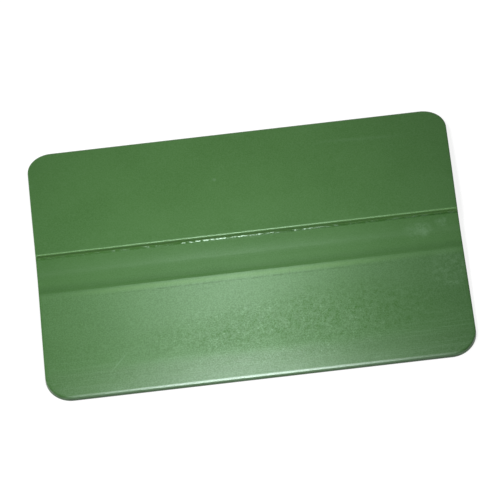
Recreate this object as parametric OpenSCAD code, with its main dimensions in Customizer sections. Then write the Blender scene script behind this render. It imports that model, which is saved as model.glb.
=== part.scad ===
// Squeegee applicator card: one solid plastic moulding, gripped by its thick
// half and dragged on its thin blade edge to press film flat.
// The card lies on its flat back. X runs along the blade edge, the blade edge
// faces -Y and Z is the thickness. The origin is under the middle of the card.

/* [Card] */
// Length of the blade edge
card_w = 101.6; // [80:0.1:160]
// Depth from the blade edge to the outer edge of the handle
card_d = 69.85; // [58:0.05:100]
// Corner radius at the handle end, seen from above
handle_corner_r = 6; // [1:0.25:15]
// Corner radius at the blade end, seen from above
blade_corner_r = 6.35; // [1:0.05:15]
// Rounding along the two long edges of the back
back_edge_r = 0.25; // [0.1:0.05:0.6]

/* [Handle] */
// Depth of the handle, from its outer edge to the lip
handle_d = 31.05; // [22:0.05:34]
// Thickness at the outer edge of the handle
handle_edge_t = 2.6; // [2:0.1:3.4]
// Rounding along the outer edge of the handle
handle_edge_r = 0.9; // [0.2:0.1:1.2]
// Thickness at the lip, the thickest place on the card
lip_t = 4.6; // [4:0.1:7]
// Rounding along the lip
lip_r = 0.3; // [0.1:0.05:0.5]
// Depth of the flatter stretch of the handle next to the lip
crown_d = 10; // [4:0.5:14]
// Rise of that flatter stretch towards the lip
crown_rise = 0.5; // [0:0.05:0.8]

/* [Finger groove] */
// Drop from the lip to the groove
step_h = 1.2; // [0.9:0.05:1.8]
// Rounding at the foot of the step
step_foot_r = 0.4; // [0.2:0.05:0.6]
// Depth of the groove, from the step to the crest of the bead
groove_d = 10.3; // [8:0.1:14]
// Level ledge at the foot of the step
ledge_d = 2.3; // [1:0.1:3]
// Depth of the ramp below the ledge
ramp_d = 2.8; // [1:0.1:3.5]
// Drop of the ramp
ramp_fall = 0.1; // [0.02:0.02:0.3]

/* [Bead] */
// Rise from the groove floor to the crest of the bead
bead_rise = 0.08; // [0.02:0.02:0.3]
// Depth over which the groove floor rises to the crest
bead_rise_d = 0.9; // [0.4:0.1:1.5]
// Depth of the bead's sloping face, from the crest towards the blade
bead_d = 1.8; // [1:0.1:3]
// Drop of that sloping face
bead_fall = 0.2; // [0.05:0.05:0.4]

/* [Blade] */
// Depth of the bevelled stretch along the blade edge, tip included
bevel_d = 5.7; // [4:0.1:10]
// Thickness where the bevel starts
bevel_t = 1.95; // [1.9:0.05:2.6]
// Depth of the steeper tip at the end of the bevel
tip_d = 2.4; // [1.2:0.1:3]
// Thickness where the tip starts
tip_t = 1.65; // [1.5:0.05:1.9]
// Thickness of the blade edge
edge_t = 1.2; // [0.9:0.05:1.4]
// Rounding on top of the blade edge
edge_r = 0.5; // [0.1:0.05:0.6]

/* [Hidden] */
$fn = 96;
// The outer edge of the handle and the blade edge
handle_y = card_d / 2;
blade_y = -card_d / 2;
// How far a corner's cutter reaches past the card's faces
clear = 1;
// How far an arc overshoots the faces it joins, so that it crosses them cleanly
bite = 0.001;
// Where each stretch of the top face starts, from the lip towards the blade
lip_y = handle_y - handle_d;
ramp_y = lip_y - ledge_d;
crest_y = lip_y - groove_d;
bead_foot_y = crest_y - bead_d;
// Heights of the groove above the back
ledge_t = lip_t - step_h;
floor_t = ledge_t - ramp_fall;
crest_t = floor_t + bead_rise;

// Corners of the side profile as [y, z, rounding], clockwise from the lip
profile_corners = [
    [lip_y, lip_t, lip_r],
    [lip_y + crown_d, lip_t - crown_rise, 0],
    [handle_y, handle_edge_t, handle_edge_r],
    [handle_y, 0, back_edge_r],
    [blade_y, 0, back_edge_r],
    [blade_y, edge_t, edge_r],
    [blade_y + tip_d, tip_t, 0],
    [blade_y + bevel_d, bevel_t, 0],
    [bead_foot_y, crest_t - bead_fall, 0],
    [crest_y, crest_t, 0],
    [crest_y + bead_rise_d, floor_t, 0],
    [ramp_y - ramp_d, floor_t, 0],
    [ramp_y, ledge_t, 0],
    [lip_y, ledge_t, step_foot_r],
];

// Corners of the outline seen from above as [x, y, rounding]
outline_corners = [
    [-card_w / 2, handle_y, handle_corner_r],
    [card_w / 2, handle_y, handle_corner_r],
    [card_w / 2, blade_y, blade_corner_r],
    [-card_w / 2, blade_y, blade_corner_r],
];

function place(corner) = [corner[0], corner[1]];
function towards(from, to) = (to - from) / norm(to - from);
function neighbour(corners, i, step) = corners[(i + step + len(corners)) % len(corners)];

// Centre of the arc that rounds the corner between its two neighbours
function arc_centre(before, corner, after) =
    let (p = place(corner))
    let (a = towards(p, place(before)))
    let (b = towards(p, place(after)))
    let (half_angle = acos(a * b) / 2)
    p + towards([0, 0], a + b) * corner[2] / sin(half_angle);

// Point where the arc meets the straight edge from the corner to a neighbour
function arc_end(corner, neighbour, centre) =
    let (p = place(corner))
    let (edge = towards(p, place(neighbour)))
    p + edge * ((centre - p) * edge);

// True where a clockwise outline turns inwards, as at the foot of the step
function is_hollow(before, corner, after) =
    let (a = place(corner) - place(before))
    let (b = place(after) - place(corner))
    cross(a, b) > 0;

// Corner points before rounding: a hollow corner is bridged by a straight chord
function rough_corner(corners, i) =
    let (before = neighbour(corners, i, -1))
    let (after = neighbour(corners, i, 1))
    let (centre = arc_centre(before, corners[i], after))
    is_hollow(before, corners[i], after) && corners[i][2] > 0
        ? [arc_end(corners[i], before, centre), arc_end(corners[i], after, centre)]
        : [place(corners[i])];

// What a rounding takes off: the disc itself in a hollow corner, and elsewhere
// what lies between the sharp corner and its arc, reaching a little past it
module rounding_waste(corners, i) {
    before = neighbour(corners, i, -1);
    after = neighbour(corners, i, 1);
    centre = arc_centre(before, corners[i], after);
    reach = 1.2;
    radius = corners[i][2] + bite;
    rim = [arc_end(corners[i], before, centre), place(corners[i]), arc_end(corners[i], after, centre)];
    if (is_hollow(before, corners[i], after)) {
        translate(centre) circle(r = radius);
    } else {
        difference() {
            polygon([centre, for (p = rim) centre + (p - centre) * reach]);
            translate(centre) circle(r = radius);
        }
    }
}

// The side profile, with its corners rounded by true arcs
module side_profile() {
    difference() {
        polygon([
            for (i = [0:len(profile_corners) - 1]) each rough_corner(profile_corners, i)
        ]);
        for (i = [0:len(profile_corners) - 1]) {
            if (profile_corners[i][2] > 0) rounding_waste(profile_corners, i);
        }
    }
}

// The whole card: the side profile along X, less the waste at the outline's corners
module squeegee_card() {
    color([0.30, 0.50, 0.28])
        difference() {
            translate([-card_w / 2, 0, 0])
                rotate([90, 0, 90])
                    linear_extrude(height = card_w)
                        side_profile();
            for (i = [0:len(outline_corners) - 1]) {
                translate([0, 0, -clear])
                    linear_extrude(height = lip_t + 2 * clear)
                        rounding_waste(outline_corners, i);
            }
        }
}

squeegee_card();
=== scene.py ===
"""Looks of the squeegee applicator: one moulded green plastic card on a pale floor.

The card is one piece. Its detailed mesh is lofted from the same side profile and
outline as the CAD solid, with every edge rounded, and it stands for the CAD node.
Lengths are in metres, in the CAD frame: X along the blade edge, the blade edge
faces -Y, and Z is the thickness.
"""
import math

import bpy
import numpy as np
from mathutils import Matrix, Vector


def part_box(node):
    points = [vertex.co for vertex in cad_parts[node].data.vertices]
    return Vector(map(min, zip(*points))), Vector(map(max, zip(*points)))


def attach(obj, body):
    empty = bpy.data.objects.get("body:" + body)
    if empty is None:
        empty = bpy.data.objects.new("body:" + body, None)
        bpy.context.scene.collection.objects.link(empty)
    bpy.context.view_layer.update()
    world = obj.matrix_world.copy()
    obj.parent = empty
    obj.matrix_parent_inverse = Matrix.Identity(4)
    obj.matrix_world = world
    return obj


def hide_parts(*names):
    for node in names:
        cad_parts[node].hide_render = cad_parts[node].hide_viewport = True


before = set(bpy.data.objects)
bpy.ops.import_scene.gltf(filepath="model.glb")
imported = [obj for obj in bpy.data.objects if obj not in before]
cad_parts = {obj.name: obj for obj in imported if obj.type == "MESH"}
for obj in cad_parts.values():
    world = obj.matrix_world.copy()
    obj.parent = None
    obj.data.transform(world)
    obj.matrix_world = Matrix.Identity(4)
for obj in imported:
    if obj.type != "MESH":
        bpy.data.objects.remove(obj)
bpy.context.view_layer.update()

MM = 0.001
CARD = "squeegee_card"
card_low, card_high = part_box(CARD)
WIDTH = card_high.x - card_low.x
HANDLE_Y = card_high.y
BLADE_Y = card_low.y

# Side profile of the top face, from the handle's outer edge to the blade edge
LIP_T = 4.6 * MM
HANDLE_EDGE_T = 2.6 * MM
HANDLE_DEPTH = 31.05 * MM
CROWN_DEPTH = 10.0 * MM
CROWN_RISE = 0.5 * MM
STEP_H = 1.2 * MM
LEDGE_DEPTH = 2.3 * MM
RAMP_DEPTH = 2.8 * MM
RAMP_FALL = 0.1 * MM
GROOVE_DEPTH = 10.3 * MM
BEAD_RISE = 0.08 * MM
BEAD_RISE_DEPTH = 0.9 * MM
BEAD_DEPTH = 1.8 * MM
BEAD_FALL = 0.2 * MM
BEVEL_DEPTH = 5.7 * MM
BEVEL_T = 1.95 * MM
TIP_DEPTH = 2.4 * MM
TIP_T = 1.65 * MM
EDGE_T = 1.2 * MM
# The handle's top bulges a little between its outer edge and the lip
BULGE = 0.12 * MM
BULGE_START = 1.5 * MM
# The blade's long face sinks a little between the bead and the bevel
DISH = 0.2 * MM
DISH_END = 1.7 * MM
# The sides draw in a little, most of all halfway along the card's depth
WAIST = 0.19 * MM
WAIST_REACH = 17.0 * MM

LIP_Y = HANDLE_Y - HANDLE_DEPTH
LEDGE_T = LIP_T - STEP_H
FLOOR_T = LEDGE_T - RAMP_FALL
RAMP_Y = LIP_Y - LEDGE_DEPTH
CREST_Y = LIP_Y - GROOVE_DEPTH
CREST_T = FLOOR_T + BEAD_RISE
BEAD_FOOT_Y = CREST_Y - BEAD_DEPTH

# Corner arcs of the outline and roundings of its edges
HANDLE_CORNER_R = 6.0 * MM
BLADE_CORNER_R = 6.35 * MM
SIDE_ROUND = 0.28 * MM
HANDLE_ROUND = 0.9 * MM
BLADE_ROUND = 0.5 * MM
BACK_ROUND = 0.25 * MM
# Roundings across the top face, from the handle to the blade
CROWN_BLEND = 90 * MM
LIP_ROUND = 0.3 * MM
FOOT_ROUND = 0.4 * MM
RAMP_BLEND = 60 * MM
RAMP_FOOT_BLEND = 8 * MM
BEAD_RISE_BLEND = 3 * MM
CREST_ROUND = 1.2 * MM
BEAD_FOOT_BLEND = 5 * MM
BEVEL_BLEND = 45 * MM
TIP_BLEND = 18 * MM
# The walls lean in by this much for each unit that they rise above the parting line
DRAFT = math.tan(math.radians(2.5))
PARTING_Z = 0.45 * MM
PARTING_LIP = 0.02 * MM
PARTING_HALF_HEIGHT = 0.05 * MM

# How finely the mesh follows the shape
COLUMNS = 161
CORNER_STEPS = 18
ROUND_STEPS = 6
BACK_STEPS = 3
LONGEST_STEP = 1.0 * MM
# Rows of the straight stretch keep this far from the corner arcs
ARC_GAP = 0.2 * MM
# Half the stretch over which the top face's slope is taken at a corner arc
SLOPE_REACH = 0.05 * MM

# Colours of the plastic, and of its painted shade and painted highlights, linear red, green, blue and
# alpha
DEEP_GREEN = (0.0285, 0.081, 0.0175, 1)
FRESH_GREEN = (0.0325, 0.088, 0.021, 1)
FLECK_GREEN = (0.043, 0.108, 0.030, 1)
SAND_GREEN = (0.046, 0.112, 0.034, 1)
# Real grime, and painted shade in the hollow before the bead, along the crease, on the blade's rim and
# right side
GRIME_AND_SHADE = (0.012, 0.040, 0.008, 1)
# Painted highlight on the lip and wall of the step
STEP_PAINTED_HIGHLIGHT = (0.085, 0.185, 0.055, 1)
# Painted highlight on the bead
BEAD_PAINTED_HIGHLIGHT = (0.085, 0.185, 0.04, 1)
SCRATCH_GREEN = (0.11, 0.19, 0.11, 1)
SHEEN_TINT = (0.75, 1.0, 0.82, 1)
BEVEL_SHEEN_TINT = (0.86, 1.0, 0.95, 1)

# The paper that the card lies on
FLOOR_HALF = 6.0
FLOOR_DROP = 0.2 * MM
FLOOR_COLOUR = (0.15, 0.15, 0.15, 1)
FLOOR_ROUGHNESS = 0.9
FLOOR_GLOW = 0.86
SKY_STRENGTH = 0.33

# The camera looks down at the stepped face from in front of the blade edge
CAMERA_ELEVATION = math.radians(56)
CAMERA_TURN = math.radians(-0.25)
CAMERA_ROLL = math.radians(6.35)
CAMERA_DISTANCE = 1.14
CAMERA_RIGHT = 0.34 * MM
CAMERA_UP = 0.21 * MM
SENSOR_MM = 36
LENS_MM = 345.90236


def arc_points(before, corner, after, radius, steps):
    """Points of the arc that rounds a corner of the profile, from one tangent to the other."""
    to_before = (before - corner).normalized()
    to_after = (after - corner).normalized()
    half = to_before.angle(to_after) / 2
    reach = radius / math.tan(half)
    start = corner + to_before * reach
    end = corner + to_after * reach
    centre = corner + (to_before + to_after).normalized() * (radius / math.sin(half))
    points = []
    for i in range(steps + 1):
        spoke = (start - centre).lerp(end - centre, i / steps).normalized() * radius
        points.append(centre + spoke)
    return points


def top_profile():
    """The top face's side profile as points (y, z), from the handle's edge to the blade edge."""
    corners = [  # y, z, rounding, steps of the arc
        (HANDLE_Y, HANDLE_EDGE_T, 0, 0),
        (LIP_Y + CROWN_DEPTH, LIP_T - CROWN_RISE, CROWN_BLEND, 8),
        (LIP_Y, LIP_T, LIP_ROUND, 8),
        (LIP_Y, LEDGE_T, FOOT_ROUND, 9),
        (RAMP_Y, LEDGE_T, RAMP_BLEND, 5),
        (RAMP_Y - RAMP_DEPTH, FLOOR_T, RAMP_FOOT_BLEND, 3),
        (CREST_Y + BEAD_RISE_DEPTH, FLOOR_T, BEAD_RISE_BLEND, 3),
        (CREST_Y, CREST_T, CREST_ROUND, 4),
        (BEAD_FOOT_Y, CREST_T - BEAD_FALL, BEAD_FOOT_BLEND, 3),
        (BLADE_Y + BEVEL_DEPTH, BEVEL_T, BEVEL_BLEND, 6),
        (BLADE_Y + TIP_DEPTH, TIP_T, TIP_BLEND, 6),
        (BLADE_Y, EDGE_T, 0, 0),
    ]
    at = [Vector((y, z)) for y, z, _, _ in corners]
    rounded = [at[0]]
    for i in range(1, len(corners) - 1):
        rounded += arc_points(at[i - 1], at[i], at[i + 1], corners[i][2], corners[i][3])
    rounded.append(at[-1])
    points = [rounded[0]]
    for a, b in zip(rounded, rounded[1:]):
        pieces = max(1, math.ceil((b - a).length / LONGEST_STEP))
        points += [a.lerp(b, i / pieces) for i in range(1, pieces + 1)]
    points = np.array(points)
    points[:, 1] -= DISH * hump(points[:, 0], BLADE_Y + BEVEL_DEPTH + DISH_END, BEAD_FOOT_Y)
    points[:, 1] += BULGE * hump(points[:, 0], LIP_Y + BULGE_START, HANDLE_Y)
    return points


def hump(y, start, end):
    """A parabola that is 0 at start and end, and outside them, and 1 halfway."""
    share = np.clip((y - start) / (end - start), 0, 1)
    return 4 * share * (1 - share)


def smooth(t):
    """Eases from 0 to 1 while t goes from 0 to 1."""
    return t * t * (3 - 2 * t)


def drawn_in(z):
    """How far a wall stands inside the parting line's outline at height z."""
    return PARTING_LIP + max(0.0, z - PARTING_Z) * DRAFT


def profile_rows():
    """One entry for each row of the top grid, from the handle to the blade edge.

    y, z: where the row lies on the top face
    angle: which way the outline faces at the row's right end, 0 for straight out
    edge: rounding of the top edge at the row's end
    drawn: how far the wall leans in below that rounding
    radius, middle: radius of the corner arc and y of its centre, or 0 and None
    slope: the top face's slope, for a row on a corner arc
    normal, back_y: the top face's normal and the row's y on the back, for the other rows
    """
    profile = top_profile()
    along = np.gradient(profile, axis=0)
    along /= np.linalg.norm(along, axis=1)[:, None]
    normal = np.stack([along[:, 1], -along[:, 0]], axis=1)
    # Every normal points up or level; the tiny shift keeps those of the upright step wall
    normal *= np.sign(normal[:, 1:2] + 1e-9)
    run = np.concatenate([[0], np.cumsum(np.linalg.norm(np.diff(profile, axis=0), axis=1))])
    handle_arc_y = HANDLE_Y - HANDLE_CORNER_R
    blade_arc_y = BLADE_Y + BLADE_CORNER_R
    # The profile read backwards, so that y rises, for the stretches inside the corner arcs
    rising_y, rising_z = profile[::-1, 0], profile[::-1, 1]

    def arc_row(sign, radius, round_at_end, angle):
        edge = SIDE_ROUND + (round_at_end - SIDE_ROUND) * smooth(angle / (math.pi / 2))
        middle = handle_arc_y if sign > 0 else blade_arc_y
        y = middle + sign * (radius - edge) * math.sin(angle)
        z = np.interp(y, rising_y, rising_z)
        drawn = drawn_in(z - edge)
        y -= sign * drawn * math.sin(angle)
        z = np.interp(y, rising_y, rising_z)
        slope = (np.interp(y + SLOPE_REACH, rising_y, rising_z)
                 - np.interp(y - SLOPE_REACH, rising_y, rising_z)) / (2 * SLOPE_REACH)
        return {"y": y, "z": z, "angle": sign * angle, "edge": edge, "drawn": drawn,
                "radius": radius, "middle": middle, "slope": slope}

    angles = [math.pi / 2 * i / CORNER_STEPS for i in range(CORNER_STEPS + 1)]
    rows = [arc_row(1, HANDLE_CORNER_R, HANDLE_ROUND, a) for a in reversed(angles)]
    inside = [i for i in range(len(profile))
              if blade_arc_y + ARC_GAP < profile[i, 0] < handle_arc_y - ARC_GAP]
    first, last = run[inside[0]], run[inside[-1]]
    start_y, end_y = profile[inside[0], 0], profile[inside[-1], 0]
    for i in inside:
        share = (run[i] - first) / (last - first)
        rows.append({"y": profile[i, 0], "z": profile[i, 1], "normal": Vector(normal[i]),
                     "angle": 0.0, "edge": SIDE_ROUND, "drawn": drawn_in(profile[i, 1] - SIDE_ROUND),
                     "radius": 0.0, "middle": None, "back_y": start_y + (end_y - start_y) * share})
    rows += [arc_row(-1, BLADE_CORNER_R, BLADE_ROUND, a) for a in angles]
    return rows


def waist(y):
    """How far the sides draw in at y, most of all halfway along the card's depth."""
    return WAIST * math.exp(-(y / WAIST_REACH) ** 2)


def row_end(row, inset):
    """Half width and y of a row's end, on the outline drawn in by inset."""
    reach = row["radius"] - inset
    half = WIDTH / 2 - waist(row["y"]) - row["radius"] + reach * math.cos(row["angle"])
    if row["middle"] is None:
        return WIDTH / 2 - waist(row["y"]) - inset, row["back_y"]
    return half, row["middle"] + reach * math.sin(row["angle"])


def new_object(name, verts, faces):
    """An object with this mesh, in the scene."""
    mesh = bpy.data.meshes.new(name)
    mesh.from_pydata(verts, [], faces)
    mesh.validate()
    mesh.update()
    made = bpy.data.objects.new(name, mesh)
    bpy.context.scene.collection.objects.link(made)
    return made


def boundary_loop(last_row):
    """The top grid's rim, anticlockwise from above, as (row, column) pairs."""
    last_column = COLUMNS - 1
    loop = [(0, j) for j in range(last_column, 0, -1)]
    loop += [(i, 0) for i in range(last_row)]
    loop += [(last_row, j) for j in range(last_column)]
    loop += [(i, last_column) for i in range(last_row, 0, -1)]
    return loop


def outward(rows, i, j):
    """The direction, seen from above, that the rim faces at row i and column j."""
    if 0 < j < COLUMNS - 1:
        return Vector((0, 1 if i == 0 else -1))
    side = -1 if j == 0 else 1
    angle = rows[i]["angle"]
    return Vector((side * math.cos(angle), math.sin(angle)))


def rounded_ring(rows, loop, rim, angle):
    """Points of the ring that lies at this angle down the rounding round the top face."""
    ring = []
    for (i, j), point in zip(loop, rim):
        row = rows[i]
        out = outward(rows, i, j)
        reach = row["edge"] * math.sin(angle)
        sunk = row["edge"] * (1 - math.cos(angle))
        place = Vector(point) + Vector((out.x, out.y, 0)) * reach
        if row["middle"] is None:
            place.y -= row["normal"].x * sunk
            place.z -= row["normal"].y * sunk
        else:
            place.z += row["slope"] * out.y * reach * math.cos(angle) - sunk
        ring.append(tuple(place))
    return ring


def wall_rings(rows, loop, shares):
    """Rings down the wall below the rounding: the parting line, then the back's rounding."""
    levels = [(PARTING_LIP, PARTING_Z + PARTING_HALF_HEIGHT), (0.0, PARTING_Z),
              (PARTING_LIP, PARTING_Z - PARTING_HALF_HEIGHT)]
    for k in range(BACK_STEPS + 1):
        angle = math.pi / 2 * k / BACK_STEPS
        inset = PARTING_LIP + (BACK_ROUND - PARTING_LIP) * (1 - math.cos(angle))
        levels.append((inset, BACK_ROUND * (1 - math.sin(angle))))
    rings = []
    for inset, z in levels:
        ends = [row_end(rows[i], inset) for i, _ in loop]
        rings.append([(half * shares[j], y, z) for (half, y), (_, j) in zip(ends, loop)])
    return rings


def build_card():
    """The card's closed mesh: top grid, rings down the rounded edges and sides, back grid."""
    rows = profile_rows()
    last_row, last_column = len(rows) - 1, COLUMNS - 1
    shares = [2 * j / last_column - 1 for j in range(COLUMNS)]
    loop = boundary_loop(last_row)
    verts, faces = [], []

    def add(points):
        verts.extend(points)
        return list(range(len(verts) - len(points), len(verts)))

    top = []
    for row in rows:
        half, _ = row_end(row, row["edge"] + row["drawn"])
        top.append(add([(half * share, row["y"], row["z"]) for share in shares]))

    rings = [[top[i][j] for i, j in loop]]
    rim = [verts[vertex] for vertex in rings[0]]
    for k in range(1, ROUND_STEPS + 1):
        rings.append(add(rounded_ring(rows, loop, rim, math.pi / 2 * k / ROUND_STEPS)))
    for ring in wall_rings(rows, loop, shares):
        rings.append(add(ring))
    for upper, lower in zip(rings, rings[1:]):
        for a in range(len(loop)):
            b = (a + 1) % len(loop)
            faces.append((upper[a], lower[a], lower[b], upper[b]))

    back = [[None] * COLUMNS for _ in rows]
    for (i, j), vertex in zip(loop, rings[-1]):
        back[i][j] = vertex
    for i in range(1, last_row):
        half, y = row_end(rows[i], BACK_ROUND)
        back[i][1:last_column] = add([(half * share, y, 0.0) for share in shares[1:last_column]])

    for i in range(last_row):
        for j in range(last_column):
            faces.append((top[i][j], top[i + 1][j], top[i + 1][j + 1], top[i][j + 1]))
            faces.append((back[i][j], back[i][j + 1], back[i + 1][j + 1], back[i + 1][j]))

    piece = new_object("squeegee_card_moulding", verts, faces)
    piece.data.polygons.foreach_set("use_smooth", [True] * len(piece.data.polygons))
    return piece


class Shading:
    """A material whose node tree is put together call by call."""

    def __init__(self, name):
        self.material = bpy.data.materials.new(name)
        self.material.use_nodes = True
        self.nodes = self.material.node_tree.nodes
        self.links = self.material.node_tree.links
        self.shader = self.nodes["Principled BSDF"]

    def put(self, socket, value):
        """Links a socket to another socket, or sets it to a constant."""
        if isinstance(value, bpy.types.NodeSocket):
            self.links.new(value, socket)
        else:
            socket.default_value = value

    def node(self, kind, inputs, **settings):
        """A new node, with its settings and its inputs put in."""
        node = self.nodes.new(kind)
        for key, value in settings.items():
            setattr(node, key, value)
        for key, value in inputs.items():
            self.put(node.inputs[key], value)
        return node

    def math(self, operation, *values):
        """The outcome of a maths operation on sockets and constants."""
        return self.node("ShaderNodeMath", dict(enumerate(values)), operation=operation).outputs[0]

    def add(self, first, *others):
        for other in others:
            first = self.math("ADD", first, other)
        return first

    def times(self, first, *others):
        for other in others:
            first = self.math("MULTIPLY", first, other)
        return first

    def most(self, first, *others):
        """The highest of the values."""
        for other in others:
            first = self.math("MAXIMUM", first, other)
        return first

    def fade(self, value, start, end, low=0.0, high=1.0):
        """Eases from low to high while the value goes from start to end."""
        inputs = {"Value": value, "From Min": start, "From Max": end, "To Min": low, "To Max": high}
        return self.node("ShaderNodeMapRange", inputs, interpolation_type="SMOOTHSTEP").outputs[0]

    def away(self, value, middle):
        """How far the value is from the middle, to either side."""
        return self.math("ABSOLUTE", self.math("SUBTRACT", value, middle))

    def band(self, value, middle, half_width):
        """1 at the middle, easing to 0 at half_width to either side."""
        return self.fade(self.away(value, middle), 0.0, half_width, 1.0, 0.0)

    def turned(self, place, degrees, stretch=(1, 1, 1)):
        """The coordinates turned about Z, then scaled along each axis."""
        turn = self.node("ShaderNodeVectorRotate", {"Vector": place, "Angle": math.radians(degrees)},
                         rotation_type="Z_AXIS").outputs[0]
        return self.node("ShaderNodeVectorMath", {0: turn, 1: stretch}, operation="MULTIPLY").outputs[0]

    def noise(self, place, scale, detail=2.0, roughness=0.5):
        """Cloudy noise, mostly between 0.3 and 0.7; a higher scale makes it finer."""
        inputs = {"Vector": place, "Scale": scale, "Detail": detail, "Roughness": roughness}
        return self.node("ShaderNodeTexNoise", inputs).outputs[0]

    def streaks(self, place, degrees, length, width, share):
        """Thin scratches, about length by width, where stretched noise is highest."""
        level = self.noise(self.turned(place, degrees, (1 / length, 1 / width, 1)), 1.0, 1.0)
        return self.fade(level, 1 - share - 0.04, 1 - share + 0.04)

    def patch(self, x, y, middle, reach):
        """1 in the middle of an oval with half axes reach, easing to 0 at its rim."""
        across = self.math("DIVIDE", self.math("SUBTRACT", x, middle[0]), reach[0])
        along = self.math("DIVIDE", self.math("SUBTRACT", y, middle[1]), reach[1])
        far = self.add(self.times(across, across), self.times(along, along))
        return self.fade(far, 0.0, 1.0, 1.0, 0.0)

    def line(self, x, y, start, end, half_width):
        """1 along a straight scratch from start to end, easing to 0 beside it."""
        run = Vector((end[0] - start[0], end[1] - start[1]))
        unit = run.normalized()
        dx = self.math("SUBTRACT", x, start[0])
        dy = self.math("SUBTRACT", y, start[1])
        beside = self.add(self.times(dx, -unit.y), self.times(dy, unit.x))
        along = self.add(self.times(dx, unit.x), self.times(dy, unit.y))
        middle = run.length / 2
        return self.times(self.band(beside, 0.0, half_width), self.band(along, middle, middle * 1.1))

    def mix(self, factor, first, second):
        """The first colour where the factor is 0, going over to the second at 1."""
        node = self.node("ShaderNodeMix", {0: factor, 6: first, 7: second}, data_type="RGBA")
        return node.outputs[2]


def stretches(paint, x, y, z, mottle):
    """Masks, from 0 to 1, of the card's stretches and edges."""
    lip_y, ledge_t, blade_y = LIP_Y / MM, LEDGE_T / MM, BLADE_Y / MM
    lip_t, crest_y, bead_foot_y = LIP_T / MM, CREST_Y / MM, BEAD_FOOT_Y / MM
    # The painted highlight on the bead and the painted shade in the crease show most in the middle,
    # under the strip light, and fade towards the ends
    lit_middle = paint.fade(paint.away(x, -3.0), 18.0, 44.0, 1.0, 0.1)
    bead = paint.band(y, (crest_y + bead_foot_y) / 2, BEAD_DEPTH / MM * 0.6)
    # Painted shade along the crease at the bead's foot, broken up by the mottle
    crease = paint.times(paint.band(y, bead_foot_y - 0.1, 0.35), paint.fade(mottle, 0.3, 0.6))
    return {
        "lip": paint.times(paint.band(y, lip_y + 0.1, 0.6), paint.fade(z, lip_t - 0.5, lip_t - 0.3)),
        "step": paint.times(paint.band(y, lip_y, 0.5), paint.fade(z, ledge_t, ledge_t + 0.25)),
        "foot": paint.times(paint.band(y, lip_y - 0.15, 0.6),
                            paint.fade(z, ledge_t + 0.6, ledge_t + 0.35)),
        "ramp": paint.band(y, (RAMP_Y - RAMP_DEPTH) / MM + 0.3, 1.6),
        "before_bead": paint.band(y, crest_y + 1.0, 2.0),
        "bead": paint.times(bead, lit_middle),
        "crease": paint.times(crease, lit_middle),
        "blade": paint.fade(y, crest_y, crest_y - 2.0),
        "bevel": paint.fade(y, blade_y + 8.0, blade_y + 5.0),
        "blade_edge": paint.times(paint.fade(y, blade_y + 0.9, blade_y + 0.4), paint.fade(z, 0.8, 1.0)),
        # The blade's upright rim, painted darker as shade
        "blade_rim": paint.times(paint.fade(y, blade_y + 0.4, blade_y + 0.1), paint.fade(z, 1.0, 0.8)),
    }


def marks_of_use(paint, place, x, y, mottle):
    """Masks, from 0 to 1, of the scratches, rubbed patches, specks and smudges."""
    hairlines = paint.most(paint.streaks(place, 12, 5.0, 0.28, 0.36),
                           paint.streaks(place, -38, 3.5, 0.24, 0.35),
                           paint.streaks(place, 74, 3.0, 0.26, 0.35))
    blade_middle = paint.patch(x, y, (4.0, -23.0), (34.0, 12.0))
    cell = paint.node("ShaderNodeTexVoronoi", {"Vector": place, "Scale": 0.45},
                      voronoi_dimensions="2D").outputs["Distance"]
    cloudy = paint.fade(paint.noise(place, 0.8, 4.0, 0.7), 0.35, 0.7)
    smudges = paint.most(paint.patch(x, y, (40.6, -0.2), (4.0, 3.2)),
                         paint.patch(x, y, (46.3, 1.3), (2.2, 1.6)),
                         paint.patch(x, y, (47.0, -15.7), (3.0, 0.9)),
                         paint.times(paint.patch(x, y, (46.5, -11.5), (6.0, 6.5)), 0.6))
    rubbed = paint.most(paint.times(paint.patch(x, y, (0.0, -22.5), (38.0, 7.0)), 0.8),
                        paint.patch(x, y, (21.0, -20.5), (28.0, 11.0)))
    return {
        "blade_middle": blade_middle,
        "scuffs": paint.times(hairlines, paint.add(paint.times(blade_middle, 0.85), 0.15),
                              paint.fade(mottle, 0.35, 0.6, 0.3, 1.0)),
        "rubbed": paint.times(rubbed, cloudy),
        "specks": paint.times(paint.fade(cell, 0.13, 0.06), paint.fade(mottle, 0.48, 0.56),
                              paint.fade(y, -12.0, -17.0), paint.add(blade_middle, 0.25)),
        "drawn_lines": paint.times(paint.streaks(place, 0, 16.0, 0.4, 0.42),
                                   paint.fade(y, -20.0, -27.0)),
        "star": paint.most(paint.line(x, y, (0.2, -18.4), (1.9, -25.4), 0.3),
                           paint.line(x, y, (-1.6, -22.6), (3.6, -20.4), 0.26)),
        "long_scratch": paint.line(x, y, (-36.3, -30.6), (-29.9, -23.4), 0.28),
        "handle_streak": paint.line(x, y, (14.0, 28.7), (45.0, 27.3), 0.9),
        "pit": paint.patch(x, y, (-6.2, 20.6), (0.6, 0.6)),
        "smudges": paint.times(smudges, cloudy),
        "grime_line": paint.line(x, y, (34.0, -17.6), (49.5, -17.4), 0.5),
        "nick": paint.line(x, y, (9.0, CREST_Y / MM), (9.1, BEAD_FOOT_Y / MM - 1.0), 0.2),
    }


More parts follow.
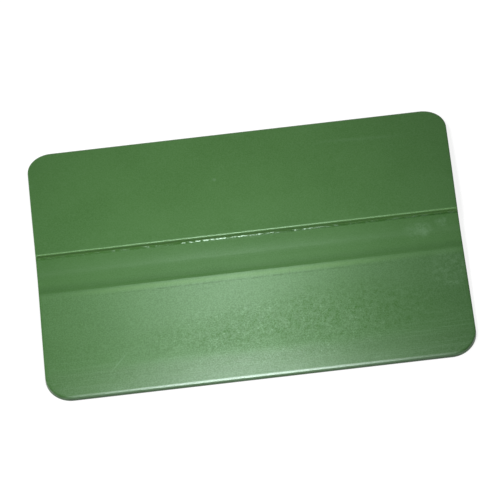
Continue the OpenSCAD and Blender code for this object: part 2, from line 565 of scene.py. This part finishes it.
def pigment(paint, x, part, mark, blotches, flecks, sand):
    """The plastic's colour, with grime, painted shade and painted highlights, darker towards the ends,
    and pale scratches.
    """
    colour = paint.mix(paint.fade(blotches, 0.35, 0.65), DEEP_GREEN, FRESH_GREEN)
    colour = paint.mix(paint.times(paint.fade(flecks, 0.35, 0.75), 0.25), colour, FLECK_GREEN)
    colour = paint.mix(paint.times(sand, 0.45), colour, SAND_GREEN)

    # Darker towards both ends of the card
    towards_ends = paint.times(x, x, 1 / 2600)
    # Painted shade on the blade's right side
    blade_right_shade = paint.times(part["blade"], paint.fade(x, 4.0, 42.0))
    # Painted shade on the right of the step's foot
    foot_right_shade = paint.times(part["foot"], paint.fade(x, -35.0, 10.0, 0.0, 0.5))
    grime_and_shade = paint.times(paint.most(towards_ends, paint.times(mark["grime_line"], 0.8)), 0.32)
    # Painted shade in the hollow before the bead and on the blade's upright rim
    grime_and_shade = paint.add(grime_and_shade, paint.times(blade_right_shade, 0.28), paint.times(part["before_bead"], 0.2),
                      paint.times(part["blade_rim"], 0.5), foot_right_shade)
    # Painted shade along the crease, and a nick
    grime_and_shade = paint.most(grime_and_shade, paint.times(part["crease"], 0.3), paint.times(mark["nick"], 0.5))
    # Grime and painted shade darken the colour here
    colour = paint.mix(grime_and_shade, colour, GRIME_AND_SHADE)
    # Painted highlight on the step's lip and wall
    colour = paint.mix(paint.times(part["step"], 0.6), colour, STEP_PAINTED_HIGHLIGHT)
    # Painted highlight on the bead
    colour = paint.mix(paint.times(part["bead"], 0.24), colour, BEAD_PAINTED_HIGHLIGHT)

    shares = {"scuffs": 0.2, "smudges": 0.32, "long_scratch": 0.3, "star": 0.32, "pit": 0.25,
              "specks": 0.32, "drawn_lines": 0.08, "handle_streak": 0.09}
    pale = paint.most(*[paint.times(mark[name], share) for name, share in shares.items()])
    return paint.mix(pale, colour, SCRATCH_GREEN)


def shine(paint, place, x, part, mark, sand):
    """How strongly the surface mirrors: glints along the step's foot, less where it is rubbed."""
    dashes = paint.noise(paint.turned(place, 0, (0.7, 1.5, 1.5)), 1.0, 3.0, 0.7)
    glints = paint.math("SUBTRACT", paint.fade(dashes, 0.44, 0.58, -0.48, 0.85),
                        paint.fade(paint.away(x, 2.5), 6.0, 22.0, 0.0, 0.6))
    edge = paint.times(part["blade_edge"], paint.fade(paint.away(x, -3.0), 15.0, 50.0, 1.1, 0.6))
    speckle = paint.times(paint.math("SUBTRACT", sand, 0.5),
                          paint.add(paint.times(part["blade"], 0.08),
                                    paint.times(mark["blade_middle"], 0.16), 0.08))
    gloss = paint.add(0.5, paint.times(part["lip"], 0.2), paint.times(part["foot"], glints), edge)
    gloss = paint.add(gloss, paint.times(mark["rubbed"], -0.3), paint.times(part["bevel"], -0.12))
    gloss = paint.add(gloss, paint.times(part["ramp"], 0.16), paint.times(part["before_bead"], -0.06))
    gloss = paint.add(gloss, paint.times(part["crease"], -0.16), paint.times(part["bead"], -0.06))
    return paint.add(gloss, speckle)


def relief(paint, mark, blotches, mottle, flecks, grain):
    """Height of the surface in millimetres: moulded waviness and grain, and scratches."""
    height = paint.add(paint.times(blotches, 0.05), paint.times(mottle, 0.012),
                       paint.times(flecks, 0.004), paint.times(grain, 0.001))
    height = paint.add(height, paint.times(mark["scuffs"], -0.003),
                       paint.times(mark["drawn_lines"], -0.002),
                       paint.times(mark["long_scratch"], -0.006), paint.times(mark["star"], -0.006))
    return paint.add(height, paint.times(mark["pit"], 0.01), paint.times(mark["smudges"], 0.01))


def green_plastic():
    """Satin green plastic, finely grained, scuffed on the blade and polished along its edges, with
    painted highlights and painted shade in its colour.
    """
    paint = Shading("green_plastic")
    spot = paint.node("ShaderNodeTexCoord", {}).outputs["Object"]
    # From here on, lengths in the material are in millimetres
    place = paint.node("ShaderNodeVectorMath", {0: spot, 1: (1 / MM, 1 / MM, 1 / MM)},
                       operation="MULTIPLY").outputs[0]
    x, y, z = paint.node("ShaderNodeSeparateXYZ", {0: place}).outputs
    blotches = paint.noise(place, 0.07, 3.0)
    mottle = paint.noise(place, 0.35, 3.0)
    flecks = paint.noise(place, 1.9, 3.0, 0.65)
    grain = paint.noise(place, 6.0, 2.0, 0.6)
    sand = paint.fade(paint.noise(place, 3.0, 2.0, 0.7), 0.36, 0.64)
    part = stretches(paint, x, y, z, mottle)
    mark = marks_of_use(paint, place, x, y, mottle)

    inputs = paint.shader.inputs
    paint.put(inputs["Base Color"], pigment(paint, x, part, mark, blotches, flecks, sand))
    rough = paint.add(0.325, paint.times(mottle, 0.03), paint.times(mark["scuffs"], 0.03),
                      paint.times(part["foot"], -0.12))
    paint.put(inputs["Roughness"], rough)
    paint.put(inputs["Specular IOR Level"], shine(paint, place, x, part, mark, sand))
    paint.put(inputs["Specular Tint"], paint.mix(part["bevel"], SHEEN_TINT, BEVEL_SHEEN_TINT))
    height = relief(paint, mark, blotches, mottle, flecks, grain)
    bump = paint.node("ShaderNodeBump", {"Height": height, "Distance": MM, "Strength": 1.0})
    paint.put(inputs["Normal"], bump.outputs[0])
    return paint.material


def build_floor():
    """Plain pale paper that glows a little, a hair below the card's back."""
    half = FLOOR_HALF
    corners = [(-half, -half, 0), (half, -half, 0), (half, half, 0), (-half, half, 0)]
    floor = new_object("floor", corners, [(0, 1, 2, 3)])
    paper = Shading("floor_paper")
    inputs = paper.shader.inputs
    paper.put(inputs["Base Color"], FLOOR_COLOUR)
    paper.put(inputs["Roughness"], FLOOR_ROUGHNESS)
    paper.put(inputs["Emission Color"], (1, 1, 1, 1))
    paper.put(inputs["Emission Strength"], FLOOR_GLOW)
    floor.data.materials.append(paper.material)
    floor.location.z = -FLOOR_DROP


def area_light(name, place, target, size, power):
    """A white rectangular light of this size and power in watts, at place, facing target."""
    data = bpy.data.lights.new(name, "AREA")
    data.shape = "RECTANGLE"
    data.size, data.size_y = size
    data.energy = power
    light = bpy.data.objects.new(name, data)
    light.location = place
    aim = Vector(target) - Vector(place)
    light.rotation_mode = "QUATERNION"
    light.rotation_quaternion = aim.to_track_quat("-Z", "Y")
    bpy.context.scene.collection.objects.link(light)
    return light


def build_lights():
    """An even sky, a strip over the card, a strip in front of the blade and a box at the left."""
    world = bpy.data.worlds.new("studio")
    world.use_nodes = True
    sky = world.node_tree.nodes["Background"]
    sky.inputs["Color"].default_value = (1, 1, 1, 1)
    sky.inputs["Strength"].default_value = SKY_STRENGTH
    bpy.context.scene.world = world
    area_light("strip_box", (-0.006, -0.009, 0.16), (-0.006, -0.086, 0), (0.029, 0.123), 0.25)
    area_light("front_strip", (-0.002, -0.10, 0.125), (0, 0, 0), (0.031, 0.07), 0.15)
    side_box = area_light("side_box", (-0.19, 0.03, 0.12), (0, 0, 0), (0.11, 0.11), 0.44)
    # It only brightens the left, with no glare of its own on the satin faces
    side_box.visible_glossy = False


def build_camera():
    """A long lens that looks down at the card, rolled so that the card rises to the right."""
    data = bpy.data.cameras.new("camera")
    data.sensor_width = SENSOR_MM
    data.lens = LENS_MM
    camera = bpy.data.objects.new("camera", data)
    turn = Matrix.Rotation(CAMERA_TURN, 3, "Z")
    back = turn @ Vector((0, -math.cos(CAMERA_ELEVATION), math.sin(CAMERA_ELEVATION)))
    level_up = turn @ Vector((0, math.sin(CAMERA_ELEVATION), math.cos(CAMERA_ELEVATION)))
    along = turn @ Vector((1, 0, 0))
    right = along * math.cos(CAMERA_ROLL) - level_up * math.sin(CAMERA_ROLL)
    up = along * math.sin(CAMERA_ROLL) + level_up * math.cos(CAMERA_ROLL)
    centre = (card_low + card_high) / 2
    place = centre + back * CAMERA_DISTANCE + right * CAMERA_RIGHT + up * CAMERA_UP
    camera.matrix_world = Matrix((
        (right.x, up.x, back.x, place.x),
        (right.y, up.y, back.y, place.y),
        (right.z, up.z, back.z, place.z),
        (0, 0, 0, 1),
    ))
    bpy.context.scene.collection.objects.link(camera)
    bpy.context.scene.camera = camera


card = build_card()
card.data.materials.append(green_plastic())
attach(card, "root")
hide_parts(CARD)

build_floor()
build_lights()
build_camera()
bpy.context.scene.view_settings.view_transform = "Standard"
